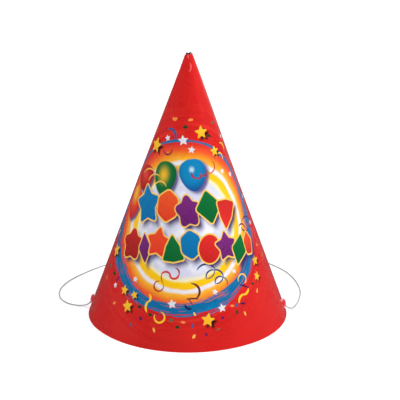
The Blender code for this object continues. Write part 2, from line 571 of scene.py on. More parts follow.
# x, y, half length, half width, turn in degrees, ink
CONFETTI = [
    (-59.5, -25.5, 1.7, 1.2, 20, "grn"),
    (-52.5, -30.5, 1.6, 1.1, -30, "dgrn"),
    (-47.8, -34.0, 1.8, 0.7, 45, "pur"),
    (-62.5, -33.0, 1.5, 0.7, 100, "ora"),
    (-49.0, -49.0, 1.5, 0.8, 15, "ora"),
    (-27.0, -50.5, 1.5, 1.0, 10, "dgrn"),
    (-19.4, -55.0, 1.4, 1.0, -20, "dgrn"),
    (-26.0, -57.7, 1.5, 0.9, -35, "pur"),
    (-16.6, -64.4, 1.5, 0.7, 110, "yel"),
    (-5.7, -58.0, 1.3, 1.1, 0, "grn"),
    (-1.7, -62.0, 1.3, 1.0, 30, "dgrn"),
    (1.8, -59.0, 1.5, 0.7, -5, "ora"),
    (7.8, -61.0, 1.4, 0.6, 85, "blu"),
    (8.7, -67.6, 1.4, 0.8, 60, "yel"),
    (16.2, -66.3, 1.1, 0.7, -40, "pur"),
    (8.8, -53.8, 1.3, 0.6, 120, "yel"),
    (26.7, -56.0, 1.2, 0.9, 30, "pur"),
    (36.4, -48.2, 1.3, 0.8, 70, "blu"),
    (36.6, -52.6, 1.5, 0.8, 100, "dgrn"),
    (33.2, -48.6, 1.3, 0.7, 0, "ora"),
    (42.7, -53.4, 1.4, 0.6, 115, "yel"),
    (40.7, -46.8, 2.0, 0.35, 8, "pur"),
    (49.9, -34.8, 1.3, 0.9, 0, "dgrn"),
    (54.0, -39.2, 1.4, 0.6, 80, "yel"),
    (60.6, -10.0, 1.3, 0.8, 40, "ora"),
    (68.0, -15.5, 1.4, 0.7, 80, "ora"),
    (-7.4, 66.3, 1.3, 0.9, -40, "ora"),
    (-6.2, 66.3, 1.3, 0.9, 40, "ora"),
    (3.4, 66.0, 1.6, 0.8, 10, "ora"),
    (0.4, 61.5, 1.5, 1.1, 0, "dgrn"),
    (19.3, 64.8, 1.3, 1.0, 20, "grn"),
    (16.1, 56.4, 1.6, 0.9, -10, "dgrn"),
    (51.3, 20.4, 1.5, 0.9, 70, "wht"),
    (55.8, 4.4, 1.7, 0.9, 60, "wht"),
    (-56.0, -3.8, 1.8, 0.8, 60, "wht"),
    (-30.0, 52.0, 1.2, 0.7, 60, "ora"),
    (-56.0, 12.0, 1.2, 0.7, -50, "yel"),
    (62.0, 8.0, 1.1, 0.7, 30, "grn"),
    (-68.0, -14.0, 1.2, 0.6, 70, "yel"),
    (-33.0, -62.0, 1.2, 0.6, -60, "blu"),
    (24.0, -63.0, 1.2, 0.6, 20, "grn"),
]

# x, y, size, turn in degrees
GOLD_STARS = [
    (10.4, 58.4, 4.5, 8),
    (-21.4, 50.1, 5.2, -14),
    (20.5, 47.1, 3.5, 12),
    (-54.2, -15.7, 4.6, 10),
    (-40.1, -40.6, 3.4, -8),
    (-31.5, -43.4, 2.9, 14),
    (-36.7, -50.5, 4.3, 6),
    (17.2, -57.4, 4.6, -6),
    (54.5, -20.0, 3.7, 10),
    (55.0, -30.1, 3.2, -12),
]
WHITE_STARS = [
    (-11.4, 54.5, 2.2, 12),
    (-0.8, 53.2, 3.5, 8),
    (4.6, 47.5, 2.5, -6),
    (26.8, 34.8, 2.0, 10),
    (35.4, 33.3, 2.0, -10),
    (-49.7, -37.8, 2.1, 8),
    (-31.3, -33.5, 2.1, -12),
    (-5.3, -47.9, 3.2, 8),
    (26.2, -49.9, 3.0, 14),
    (21.4, -40.0, 2.2, -6),
    (34.6, -27.1, 1.8, 10),
    (29.5, 57.0, 1.6, 20),
    (42.5, 44.0, 1.6, -20),
]

# x, y, radius, half width, half sweep in degrees, turn in degrees, ink
CURLS = [
    (-4.4, -28.7, 3.23, 0.5, 52, -65, "crim"),
    (-9.6, -31.3, 3.22, 0.65, 77, -10, "rib"),
    (-4.4, -29.2, 3.05, 0.7, 87, -172, "rib"),
    (-6.9, -31.6, 5.64, 0.34, 40, 97, "crim"),
    (-14.1, -37.1, 3.15, 0.5, 150, 135, "crim"),
    (6.6, -40.0, 5.03, 0.72, 79, -72, "plum"),
    (8.1, -60.0, 15.83, 0.5, 14, 3, "plum"),
    (-4.0, -53.4, 12.51, 0.34, 14, -54, "pur"),
    (5.9, -47.5, 3.15, 0.75, 54, 150, "ink"),
    (15.7, -29.4, 6.61, 0.62, 62, 4, "navy"),
    (15.3, -26.2, 5.84, 0.36, 50, -128, "navy"),
    (19.6, -30.5, 4.1, 0.5, 68, 47, "navy"),
    (22.0, -31.2, 4.9, 0.55, 53, -30, "navy"),
    (22.1, -30.3, 4.55, 0.42, 54, -135, "navy"),
    (24.6, -33.5, 3.17, 0.5, 77, 40, "navy"),
    (26.0, -34.6, 3.75, 0.4, 60, -53, "teal"),
    (40.9, -32.2, 3.27, 0.5, 112, 7, "yel"),
    (41.4, -32.2, 2.72, 0.4, 32, -122, "yel"),
    (36.4, -60.4, 24.89, 0.5, 9, -14, "ink"),
    (41.6, -37.5, 4.2, 0.75, 44, -138, "gold"),
    (42.7, -45.9, 4.52, 0.72, 50, 54, "gold"),
    (41.2, -42.2, 5.26, 0.4, 26, 176, "ink"),
    (-22.2, -44.7, 2.83, 0.8, 61, -96, "gold"),
    (-17.7, -50.6, 4.94, 0.78, 49, 80, "gold"),
    (-13.2, -56.3, 3.36, 0.6, 144, -155, "gold"),
    (-26.0, 26.3, 9.12, 0.42, 48, 0, "yel"),
    (-19.7, 25.8, 6.16, 0.45, 55, 17, "yel"),
    (-15.1, 23.1, 4.53, 0.45, 72, -4, "yel"),
    (-10.8, 47.2, 3.01, 0.45, 102, -175, "plum"),
    (8.1, 33.1, 3.01, 0.5, 63, 136, "crim"),
    (9.0, 31.9, 2.02, 0.5, 77, -123, "crim"),
    (12.4, 33.5, 1.87, 0.55, 68, -141, "crim"),
    (16.3, 37.3, 4.07, 0.42, 83, -108, "red"),
    (-10.2, 55.7, 4.54, 0.75, 72, -47, "blu"),
    (24.9, 42.8, 3.32, 0.5, 98, -7, "yel"),
    (43.0, -1.0, 3.4, 0.5, 71, -4, "plum"),
    (46.4, 4.0, 5.94, 0.5, 44, 175, "ink"),
    (50.5, -2.2, 9.65, 0.45, 53, 3, "pur"),
    (54.5, 9.0, 7.81, 0.5, 47, 174, "crim"),
    # These two strokes near the tip are painted highlights, not print.
    (-1.7, 98.5, 4.52, 0.26, 38, -92, "tip_highlight_pink"),
    (-0.5, 104.5, 1.49, 0.24, 46, -78, "tip_highlight_pink"),
    (27.3, 48.6, 4.0, 0.55, 58, -37, "gold"),
]

STAR = ("points", 5, 0.60)
FLOWER = ("petals", 5, 0.13)
ROUND = ("petals", 1, 0.0)
HEXAGON = ("points", 6, math.cos(math.pi / 6.0))
PENTAGON = ("points", 5, math.cos(math.pi / 5.0))
SQUARE = ("points", 4, math.cos(math.pi / 4.0))
TRIANGLE = ("points", 3, 0.62)

# shape, x, y, half width, half height, turn in degrees, body ink, lower ink
BIG_SHAPES = [
    (STAR, -24.6, 13.0, 10.4, 13.4, 6, ink(0, 126, 184), ink(0, 106, 168)),
    (HEXAGON, -9.6, 12.6, 7.6, 10.2, -6, ink(246, 92, 38), ink(228, 60, 34)),
    (FLOWER, 3.6, 9.4, 7.9, 10.2, 10, VIOLET, ink(100, 26, 104)),
    (SQUARE, 16.6, 12.4, 8.6, 10.8, 14, GREEN, ink(0, 96, 44)),
    (TRIANGLE, 29.0, 10.2, 8.2, 11.4, 180, ink(226, 40, 38), CRIMSON),
    (FLOWER, -36.0, -11.8, 9.2, 10.0, -8, CRIMSON, ink(160, 22, 26)),
    (SQUARE, -25.0, -14.0, 4.9, 9.6, 4, VIOLET, ink(100, 26, 104)),
    (STAR, -15.4, -10.4, 8.6, 10.2, -10, ink(244, 80, 38), ink(230, 52, 34)),
    (TRIANGLE, -5.4, -15.4, 8.0, 10.6, 4, GREEN, ink(0, 96, 44)),
    (HEXAGON, 5.6, -11.0, 7.0, 9.4, 8, ink(0, 126, 184), ink(0, 106, 168)),
    (ROUND, 17.6, -13.4, 6.9, 8.8, 0, ink(226, 40, 38), CRIMSON),
    (STAR, 28.9, -11.6, 7.9, 9.8, 12, VIOLET, ink(100, 26, 104)),
    (SQUARE, 39.4, -13.4, 6.2, 9.9, -10, GREEN, ink(0, 96, 44)),
    (PENTAGON, 48.2, -9.6, 4.6, 7.8, 10, ink(238, 84, 36), CRIMSON),
]


def shape_distance(tree, groups, shape, point, size):
    """Distance in mm from the edge of a unit shape that is printed at that size."""
    kind, count, waist = shape
    if kind == "points":
        unit = use(tree, groups["pointed_shape"], Point=point, **star_edge(count, waist))
    else:
        unit = use(
            tree, groups["petal_shape"], Point=point, Petals=float(count), Depth=waist
        )
    return times(tree, unit, size)


def red_ground_group():
    """The red of the whole cone: a little uneven, with faint brushed arcs round the picture."""
    tree, given = new_group("red_ground", [("Point", "point", None)], [("Color", "colour")])
    point = given["Point"]
    radius = length_of(tree, point)
    turn = maths(
        tree, "ARCTAN2", sideways(tree, point), part_of(tree, point, (0.0, -1.0, 0.0))
    )
    sweep = joined(tree, times(tree, turn, 0.8), times(tree, radius, 0.42))
    streak = noise_at(tree, sweep, 1.0, 2.0, 0.5)
    near = ramp(tree, radius, 84.0, 60.0, smooth=True)
    lit = times(tree, ramp(tree, streak, 0.54, 0.66, smooth=True), near)
    dim = times(tree, ramp(tree, streak, 0.46, 0.34, smooth=True), near)
    cloud = noise_at(tree, point, 0.03, 2.0)
    colour = mix_ink(tree, ramp(tree, cloud, 0.35, 0.65), RED, ink(218, 30, 27))
    colour = mix_ink(tree, times(tree, lit, 0.36), colour, ink(236, 62, 44))
    colour = mix_ink(tree, times(tree, dim, 0.28), colour, ink(172, 22, 22))
    return close_group(tree, Color=colour)


def ring_layers(tree, point, colour):
    """Lilac middle, yellow, white and orange bands, and the blue ring brushed round them."""
    middle = mapped(tree, point, (1.2, -0.4))
    wobble = maths(tree, "SUBTRACT", noise_at(tree, point, 0.07, 2.0), 0.5)
    uneven = maths(tree, "MULTIPLY_ADD", wobble, 3.2, length_of(tree, middle))
    bands = blend_steps(
        tree,
        maths(tree, "DIVIDE", uneven, 60.0),
        [
            (0.500, ink(216, 217, 238)),
            (0.550, ink(248, 238, 190)),
            (0.572, ink(255, 204, 10)),
            (0.630, ink(254, 198, 10)),
            (0.648, ink(240, 234, 236)),
            (0.672, ink(238, 234, 240)),
            (0.694, ink(253, 186, 52)),
            (0.745, ink(248, 144, 34)),
            (0.790, ink(242, 92, 40)),
            (0.840, ink(232, 60, 42)),
            (0.900, ink(210, 36, 36)),
        ],
    )
    cloud = ramp(tree, noise_at(tree, point, 0.09, 3.0), 0.42, 0.68, smooth=True)
    inner = ramp(tree, uneven, 31.0, 27.0)
    bands = mix_ink(tree, times(tree, cloud, inner), bands, ink(242, 243, 250))
    colour = mix_ink(tree, ramp(tree, length_of(tree, middle), 54.0, 51.0), colour, bands)

    # The brush starts and ends at the upper left, where the turn runs from -pi to pi.
    brushed = mapped(tree, point, (-1.0, 0.8), -120.0)
    turn = bearing(tree, brushed)
    width = blend_steps(
        tree,
        maths(tree, "MULTIPLY_ADD", turn, 0.5 / math.pi, 0.5),
        [
            (place, (value, value, value, 1.0))
            for place, value in (
                (0.000, 0.0),
                (0.040, 0.26),
                (0.110, 0.17),
                (0.200, 0.20),
                (0.290, 0.34),
                (0.400, 0.80),
                (0.520, 1.0),
                (0.680, 0.86),
                (0.860, 1.0),
                (0.950, 0.55),
                (1.000, 0.0),
            )
        ],
    )
    radius = length_of(tree, brushed)
    streaks = joined(tree, times(tree, turn, 2.4), times(tree, radius, 0.8))
    bristle = noise_at(tree, streaks, 1.0, 3.0, 0.6)
    off_line = maths(tree, "ABSOLUTE", maths(tree, "SUBTRACT", radius, 52.4))
    edge = maths(tree, "MULTIPLY_ADD", width, -5.4, off_line)
    ragged = times(tree, maths(tree, "SUBTRACT", bristle, 0.42), 15.0)
    dry = maths(tree, "MULTIPLY_ADD", ragged, width, edge)
    mask = ramp(tree, dry, 0.3, -0.3)
    fine = joined(tree, times(tree, turn, 3.2), times(tree, radius, 1.25))
    thread = noise_at(tree, fine, 1.0, 2.0, 0.5)
    bare = times(tree, ramp(tree, thread, 0.59, 0.66), ramp(tree, dry, -3.8, -1.8))
    bare = times(tree, bare, ramp(tree, width, 0.3, 0.6))
    mask = times(tree, mask, maths(tree, "SUBTRACT", 1.0, bare))
    deep = mix_ink(tree, ramp(tree, bristle, 0.28, 0.42), SKY, BLUE)
    return mix_ink(tree, mask, colour, deep)


def picture_group(groups):
    """Everything printed on the front of the card, over the red ground."""
    tree, given = new_group("front_picture", [("Point", "point", None)], [("Color", "colour")])
    point = given["Point"]
    colour = use(tree, groups["red_ground"], Point=point)
    colour = ring_layers(tree, point, colour)
    point = after(tree, point, colour)
    balloon = groups["balloon_print"]
    for place, turn, size, body, dark, glow, glow_place, glow_size in BALLOONS:
        colour = use(
            tree,
            balloon,
            Ground=colour,
            Point=mapped(tree, point, place, turn, size),
            Body_Ink=body,
            Dark_Ink=dark,
            Glow_Ink=glow,
            Glow_Place=glow_place,
            Glow_Size=glow_size,
        )
    flat = groups["flat_print"]
    for number, (x, y, half_length, half_width, turn, name) in enumerate(CONFETTI):
        if number % BATCH == 0:
            point = after(tree, point, colour)
        speck = mapped(tree, point, (x, y), turn, (half_length, half_width))
        distance = maths(tree, "SUBTRACT", length_of(tree, speck), 1.0)
        colour = use(
            tree, flat, Ground=colour, Distance=distance, Ink=ARTWORK_INKS[name], Softness=0.15
        )
    for number, (x, y, radius, half_width, sweep, turn, name) in enumerate(CURLS):
        if number % BATCH == 0:
            point = after(tree, point, colour)
        stroke = use(
            tree,
            groups["curl_stroke"],
            Point=mapped(tree, point, (x, y), turn),
            Radius=radius,
            Half_Width=half_width,
            Half_Sweep=math.radians(sweep),
        )
        colour = use(tree, flat, Ground=colour, Distance=stroke, Ink=ARTWORK_INKS[name])
    thin_star = ("points", 5, 0.48)
    for number, (x, y, size, turn) in enumerate(WHITE_STARS):
        if number % BATCH == 0:
            point = after(tree, point, colour)
        local = mapped(tree, point, (x, y), turn, (size, size))
        distance = shape_distance(tree, groups, thin_star, local, size)
        colour = use(tree, flat, Ground=colour, Distance=distance, Ink=WHITE)
    raised = groups["raised_print"]
    for number, (x, y, size, turn) in enumerate(GOLD_STARS):
        if number % BATCH == 0:
            point = after(tree, point, colour)
        local = mapped(tree, point, (x, y), turn, (size, size))
        cast = mapped(tree, point, (x + 0.42 * size, y - 0.32 * size), turn, (size, size))
        colour = use(
            tree,
            raised,
            Ground=colour,
            Distance=shape_distance(tree, groups, thin_star, local, size),
            Shadow_Distance=shape_distance(tree, groups, thin_star, cast, size),
            Shade=upward(tree, local),
            Body_Ink=GOLD,
            Low_Ink=DEEP_GOLD,
            Line_Ink=GOLD,
            Line_Width=0.0,
            Shadow_Ink=BLACK,
            Shadow_Blur=0.7,
            Shadow_Strength=0.95,
        )
    for number, (shape, x, y, half_width, half_height, turn, body, low) in enumerate(BIG_SHAPES):
        if number % BATCH == 0:
            point = after(tree, point, colour)
        size = 0.5 * (half_width + half_height)
        local = mapped(tree, point, (x, y), turn, (half_width, half_height))
        cast = mapped(tree, point, (x + 2.6, y - 2.9), turn, (half_width, half_height))
        colour = use(
            tree,
            raised,
            Ground=colour,
            Distance=shape_distance(tree, groups, shape, local, size),
            Shadow_Distance=shape_distance(tree, groups, shape, cast, size),
            Shade=upward(tree, local),
            Body_Ink=body,
            Low_Ink=low,
            Line_Ink=LINE_GOLD,
            Line_Width=0.85,
            Shadow_Ink=ink(52, 26, 100),
            Shadow_Blur=2.6,
            Shadow_Strength=0.96,
        )
    return close_group(tree, Color=colour)


# ---------------------------------------------------------------- finishes


def fibre_group():
    """Card fibres: a mask of fine crossing hairs and a slow cloud, in Object coordinates."""
    tree, given = new_group(
        "card_fibre",
        [("Point", "point", None), ("Scale", "value", 900.0)],
        [("Mask", "value")],
    )
    hairs = noise_at(tree, given["Point"], given["Scale"], 4.0, 0.7)
    cloud = noise_at(tree, given["Point"], times(tree, given["Scale"], 0.08), 2.0)
    mask = maths(tree, "MULTIPLY_ADD", hairs, 0.7, times(tree, cloud, 0.3))
    return close_group(tree, Mask=mask)


def new_finish(name):
    material = bpy.data.materials.new(name)
    material.use_nodes = True
    tree = material.node_tree
    tree.nodes.clear()
    shader = tree.nodes.new("ShaderNodeBsdfPrincipled")
    end = tree.nodes.new("ShaderNodeOutputMaterial")
    tree.links.new(shader.outputs[0], end.inputs[0])
    return material, tree, shader


def object_place(tree):
    return node(tree, "ShaderNodeTexCoord").outputs["Object"]


def gloss_coat(shader):
    shader.inputs["Coat Weight"].default_value = 0.35
    shader.inputs["Coat Roughness"].default_value = 0.12


def set_finish(tree, shader, colour, roughness, normal):
    feed(tree, shader.inputs["Base Color"], colour)
    feed(tree, shader.inputs["Roughness"], roughness)
    feed(tree, shader.inputs["Normal"], normal)


def bump(tree, height, strength, distance):
    return node(
        tree,
        "ShaderNodeBump",
        {"Height": height, "Strength": strength, "Distance": distance},
    ).outputs[0]


def blank_point(tree):
    """The piece's place on the flat blank, in mm from the middle of the painted ring."""
    blank = node(tree, "ShaderNodeUVMap", uv_map="blank").outputs[0]
    return node(
        tree,
        "ShaderNodeMapping",
        {
            "Vector": blank,
            "Location": (
                PICTURE_SHIFT - 0.5 * BLANK_WIDTH,
                RING_FROM_APEX - BLANK_WIDTH,
                0.0,
            ),
            "Scale": (BLANK_WIDTH, BLANK_WIDTH, 1.0),
        },
        vector_type="POINT",
    ).outputs[0]


def printed_finish(name, groups):
    """Glossy coated print over card."""
    material, tree, shader = new_finish(name)
    colour = use(tree, groups["front_picture"], Point=blank_point(tree))
    place = object_place(tree)
    fibre = use(tree, groups["card_fibre"], Point=place, Scale=1600.0)
    grain = mix_ink(tree, fibre, ink(168, 168, 168), ink(206, 206, 206))
    colour = mix_ink(tree, 0.05, colour, grain, "OVERLAY")
    feed(tree, shader.inputs["Base Color"], colour)
    smear = noise_at(tree, place, 60.0, 3.0)
    feed(tree, shader.inputs["Roughness"], ramp(tree, smear, 0.3, 0.7, 0.24, 0.34))
    gloss_coat(shader)
    peel = noise_at(tree, place, 420.0, 2.0)
    height = maths(tree, "MULTIPLY_ADD", fibre, 0.35, times(tree, peel, 0.65))
    feed(tree, shader.inputs["Normal"], bump(tree, height, 0.02, 0.0004))
    return material


def tab_finish(name, groups):
    """The red print on a punched tab, pale towards the cut edge where it was pushed out: partly
    cracked coating, partly a painted sheen.
    """
    material, tree, shader = new_finish(name)
    colour = use(tree, groups["red_ground"], Point=blank_point(tree))
    place = object_place(tree)
    fibre = use(tree, groups["card_fibre"], Point=place, Scale=1600.0)
    out = sideways(tree, node(tree, "ShaderNodeUVMap", uv_map="wear").outputs[0])
    cracks = noise_at(tree, place, 900.0, 3.0, 0.7)
    # The pale rim is partly cracked coating and partly a painted sheen.
    rim_sheen_and_wear = maths(tree, "MULTIPLY_ADD", maths(tree, "SUBTRACT", cracks, 0.5), 1.4, out)
    rim_sheen_and_wear = ramp(tree, rim_sheen_and_wear, 0.45, 1.05, to_high=0.8)
    sheen_and_crack_colour = mix_ink(tree, fibre, ink(222, 130, 140), ink(250, 206, 210))
    colour = mix_ink(tree, rim_sheen_and_wear, colour, sheen_and_crack_colour)
    feed(tree, shader.inputs["Base Color"], colour)
    feed(tree, shader.inputs["Roughness"], ramp(tree, rim_sheen_and_wear, 0.0, 0.8, 0.28, 0.6))
    gloss_coat(shader)
    feed(tree, shader.inputs["Normal"], bump(tree, cracks, 0.15, 0.0001))
    return material


def bare_card(tree, groups, light, dark):
    fibre = use(tree, groups["card_fibre"], Point=object_place(tree), Scale=1100.0)
    colour = mix_ink(tree, ramp(tree, fibre, 0.3, 0.7), dark, light)
    return fibre, colour, ramp(tree, fibre, 0.3, 0.7, 0.75, 0.92)


def inside_finish(name, groups):
    """Plain grey-white board, with painted shade: dark brown inside the narrow, squeezed tip."""
    material, tree, shader = new_finish(name)
    fibre, colour, roughness = bare_card(tree, groups, ink(222, 221, 217), ink(186, 184, 178))
    height = part_of(tree, object_place(tree), (0.0, 0.0, 1.0))
    # Painted shade: the inside turns dark brown towards the tip, where the inner wall lies in
    # shadow.
    tip_painted_shade = ramp(tree, height, 150.0 * MM, 168.0 * MM, to_high=0.97, smooth=True)
    colour = mix_ink(tree, tip_painted_shade, colour, ink(48, 26, 22))
    set_finish(tree, shader, colour, roughness, bump(tree, fibre, 0.25, 0.0004))
    return material


def cut_finish(name, groups):
    """The pale fibres of the card's cut edges."""
    material, tree, shader = new_finish(name)
    fibre, colour, roughness = bare_card(tree, groups, ink(250, 248, 244), ink(226, 220, 214))
    set_finish(tree, shader, colour, roughness, bump(tree, fibre, 0.5, 0.0004))
    return material


def elastic_finish():
    """White braided elastic: threads cross in a fine diagonal pattern along the cord."""
    material, tree, shader = new_finish("white_elastic_braid")
    along = node(tree, "ShaderNodeUVMap", uv_map="thread").outputs[0]
    lean = maths(
        tree, "MULTIPLY", sideways(tree, along), CORD_LENGTH / CORD_DIAMETER * 2.2 * math.pi
    )
    wrap = times(tree, upward(tree, along), 8.0 * math.pi)
    one = maths(tree, "SINE", maths(tree, "ADD", lean, wrap))
    two = maths(tree, "SINE", maths(tree, "SUBTRACT", lean, wrap))
    braid = maths(tree, "MULTIPLY_ADD", times(tree, one, two), 0.5, 0.5)
    place = object_place(tree)
    fluff = noise_at(tree, place, 1500.0, 2.0)
    tone = maths(tree, "MULTIPLY_ADD", fluff, 0.4, times(tree, braid, 0.6))
    # Painted shade: the white cord is given grey tones so that it reads darker than the bright
    # table.
    colour = mix_ink(tree, tone, ink(136, 148, 153), ink(186, 196, 200))
    roughness = ramp(tree, tone, 0.0, 1.0, 0.85, 0.6)
    set_finish(tree, shader, colour, roughness, bump(tree, braid, 0.5, 0.0001))
    return material


def metal_finish():
    material, tree, shader = new_finish("tinned_barb")
    place = object_place(tree)
    drawn = node(
        tree, "ShaderNodeMapping", {"Vector": place, "Scale": (2400.0, 2400.0, 160.0)}
    ).outputs[0]
    lines = noise_at(tree, drawn, 1.0, 3.0)
    dull = noise_at(tree, place, 500.0, 2.0)
    colour = mix_ink(tree, dull, ink(150, 152, 156), ink(222, 224, 228))
    feed(tree, shader.inputs["Base Color"], colour)
    shader.inputs["Metallic"].default_value = 1.0
    feed(tree, shader.inputs["Roughness"], ramp(tree, dull, 0.3, 0.7, 0.22, 0.42))
    feed(tree, shader.inputs["Normal"], bump(tree, lines, 0.2, 0.00005))
    return material


def glue_finish():
    material, tree, shader = new_finish("pressed_glue_film")
    place = object_place(tree)
    cloud = noise_at(tree, place, 260.0, 3.0)
    colour = mix_ink(tree, cloud, ink(216, 204, 176), ink(240, 234, 216))
    roughness = ramp(tree, cloud, 0.3, 0.7, 0.25, 0.5)
    set_finish(tree, shader, colour, roughness, bump(tree, cloud, 0.3, 0.0002))
    return material


def table_finish():
    material, tree, shader = new_finish("white_table")
    place = object_place(tree)
    cloud = noise_at(tree, place, 3.0, 2.0)
    colour = mix_ink(tree, cloud, ink(246, 246, 247), ink(250, 250, 251))
    # Kept out of the glossy print's reflections, as a dark card round the table would do.
    mirrored = node(tree, "ShaderNodeLightPath").outputs["Is Glossy Ray"]
    colour = mix_ink(tree, mirrored, colour, ink(48, 48, 50))
    feed(tree, shader.inputs["Base Color"], colour)
    shader.inputs["Roughness"].default_value = 0.7
    # Brighter far out, where it runs into the white background.
    far = ramp(tree, length_of(tree, place), 0.4, 1.5, 0.2, 1.0, smooth=True)
    seen = ramp(tree, mirrored, 0.0, 1.0, 1.0, 0.0)
    feed(tree, shader.inputs["Emission Strength"], times(tree, far, seen))
    return material


def make_groups():
    groups = {
        "pointed_shape": make_pointed_shape(),
        "petal_shape": make_petal_shape(),
        "curl_stroke": make_curl_stroke(),
        "flat_print": make_flat_print(),
        "balloon_print": make_balloon_print(),
        "red_ground": red_ground_group(),
        "card_fibre": fibre_group(),
    }
    groups["raised_print"] = make_raised_print(groups["flat_print"])
    groups["front_picture"] = picture_group(groups)
    return groups


# ---------------------------------------------------------------- modelling helpers


def active(item, name):
    item.name = name
    item.data.name = name
    bpy.ops.object.select_all(action="DESELECT")
    item.select_set(True)
    bpy.context.view_layer.objects.active = item
    return item


def apply_modifiers(item):
    active(item, item.name)
    for modifier in list(item.modifiers):
        bpy.ops.object.modifier_apply(modifier=modifier.name)
    return item


def apply_place(item):
    active(item, item.name)
    bpy.ops.object.transform_apply(location=True, rotation=True, scale=True)
    return item


def give(item, *materials):
    for material in materials:
        item.data.materials.append(material)


def keep_layers(item, *names):
    layers = item.data.uv_layers
    for layer in [layer for layer in layers if layer.name not in names]:
        layers.remove(layer)


def blank_uv(turn, slope):
    """Where a point of the rolled card lies on the flat blank, from its turn about the apex."""
    across = slope * math.sin(turn) / MM
    down = slope * math.cos(turn) / MM
    return (0.5 + across / BLANK_WIDTH, 1.0 - down / BLANK_WIDTH)


def flat_sided(item, flat_at):
    for vertex in item.data.vertices:
        vertex.co.x = min(vertex.co.x, flat_at)


# ---------------------------------------------------------------- the elastic


def cord_route():
    right = [from_hole(1, offset) for offset in CORD_AT_HOLE]
    left = [from_hole(-1, offset) for offset in CORD_AT_HOLE]
    return right + [Vector(point) * MM for point in CORD_ON_TABLE] + left[::-1]


def smooth_through(points, substeps):
    """Catmull-Rom curve through the points, sampled evenly in each span."""
    padded = [points[0] * 2.0 - points[1], *points, points[-1] * 2.0 - points[-2]]
    route = []
    for before, start, end, after in zip(padded, padded[1:], padded[2:], padded[3:]):
        for step in range(substeps):
            t = step / substeps
            route.append(
                0.5
                * (
                    2.0 * start
                    + (end - before) * t
                    + (2.0 * before - 5.0 * start + 4.0 * end - after) * t**2
                    + (3.0 * start - before - 3.0 * end + after) * t**3
                )
            )
    route.append(points[-1])
    return route


def make_elastic(finish):
    route = smooth_through(cord_route(), 6)
    curve = bpy.data.curves.new("chin_elastic", "CURVE")
    curve.dimensions = "3D"
    curve.bevel_depth = CORD_DIAMETER / 2.0
    curve.bevel_resolution = 4
    curve.use_fill_caps = True
    spline = curve.splines.new("POLY")
    spline.points.add(len(route) - 1)
    for point, place in zip(spline.points, route):
        point.co = (*place, 1.0)
    spline.use_smooth = True
    elastic = bpy.data.objects.new("chin_elastic", curve)
    bpy.context.scene.collection.objects.link(elastic)
    active(elastic, "chin_elastic")
    bpy.ops.object.convert(target="MESH")
    elastic = active(bpy.context.object, "chin_elastic")
    if elastic.data.uv_layers:
        elastic.data.uv_layers[0].name = "thread"
    bpy.ops.object.shade_smooth()
    give(elastic, finish)
    return elastic, route


# ---------------------------------------------------------------- the card


def card_lift(azimuth, slope):
    """How far the card stands off a true cone: a slow roll unevenness and buckles near the tip."""
    whole = slope / SLOPE
    roll = 0.30 * math.sin(3.0 * azimuth + 0.6) + 0.16 * math.sin(5.0 * azimuth + 2.1)
    roll += 0.08 * math.sin(9.0 * azimuth + 0.4)
    lift = roll * MM * whole
    near_tip = math.exp(-(((slope - 16.0 * MM) / (11.0 * MM)) ** 2))
    radius = slope * SIN_A
    spot = Vector((radius * math.sin(azimuth), -radius * math.cos(azimuth), slope)) * 260.0
    lift += 0.13 * MM * near_tip * noise.noise(spot)
    return lift


def tip_edge(azimuth):
    """Slope distance of the torn tip edge: lower on the left, ragged all round."""
    ragged = 0.35 * math.sin(azimuth * 4.0 + 0.5) + 0.22 * math.sin(azimuth * 9.0 + 1.0)
    lean = 0.75 * math.exp(-(((azimuth + 1.1) / 0.7) ** 2))
    return TIP_SLOPE + (0.25 + ragged * 0.7 + lean) * MM


def roll_card(steps, rows):
    bpy.ops.mesh.primitive_grid_add(x_subdivisions=steps, y_subdivisions=rows, size=1.0)
    card = active(bpy.context.object, "printed_card")
    half_roll = math.pi + LAP_HALF
    places = {}
    for vertex in card.data.vertices:
        azimuth = 2.0 * vertex.co.x * half_roll
        along = (0.5 - vertex.co.y) ** 1.25
        top = tip_edge(azimuth)
        slope = top + along * (SLOPE - top)
        tuck = TUCK_DEPTH * smooth_step(-azimuth, TUCK_START, TUCK_END)
        lift = card_lift(azimuth, slope) - tuck
        places[vertex.index] = (azimuth, slope)
        vertex.co = cone_point(azimuth, slope, lift)
        vertex.co.x += TIP_LEAN * smooth_step(vertex.co.z, LEAN_FROM, LEAN_TO)
    blank = card.data.uv_layers.new(name="blank")
    for loop in card.data.loops:
        azimuth, slope = places[loop.vertex_index]
        blank.data[loop.index].uv = blank_uv(azimuth * SIN_A, slope)
    keep_layers(card, "blank")
    return card


def thicken(item, rim_material):
    shell = item.modifiers.new("thickness", "SOLIDIFY")
    shell.thickness = CARD
    shell.offset = -1.0
    shell.material_offset = 1
    shell.material_offset_rim = rim_material
    apply_modifiers(item)


def make_card(printed, inside, cut):
    card = roll_card(CARD_STEPS, CARD_ROWS)
    give(card, printed, inside, cut)
    thicken(card, 2)
    for vertex in card.data.vertices:
        vertex.co.z = max(vertex.co.z, 0.0)
    for label, side in SIDES.items():
        bpy.ops.mesh.primitive_cylinder_add(vertices=96, radius=HOLE_RADIUS, depth=5.0 * MM)
        punch = active(bpy.context.object, label + "_punch")
        flat_sided(punch, HINGE_FORWARD + 0.04 * MM)
        punch.matrix_world = side_frame(side)
        apply_place(punch)
        give(punch, cut)
        hole = card.modifiers.new("hole", "BOOLEAN")
        hole.solver = "EXACT"
        hole.operation = "DIFFERENCE"
        hole.object = punch
        hole.material_mode = "TRANSFER"
        apply_modifiers(card)
        bpy.data.objects.remove(punch, do_unlink=True)
    active(card, "printed_card")
    bpy.ops.object.shade_smooth_by_angle(angle=math.radians(35.0))
    return card


# ---------------------------------------------------------------- tabs and barbs


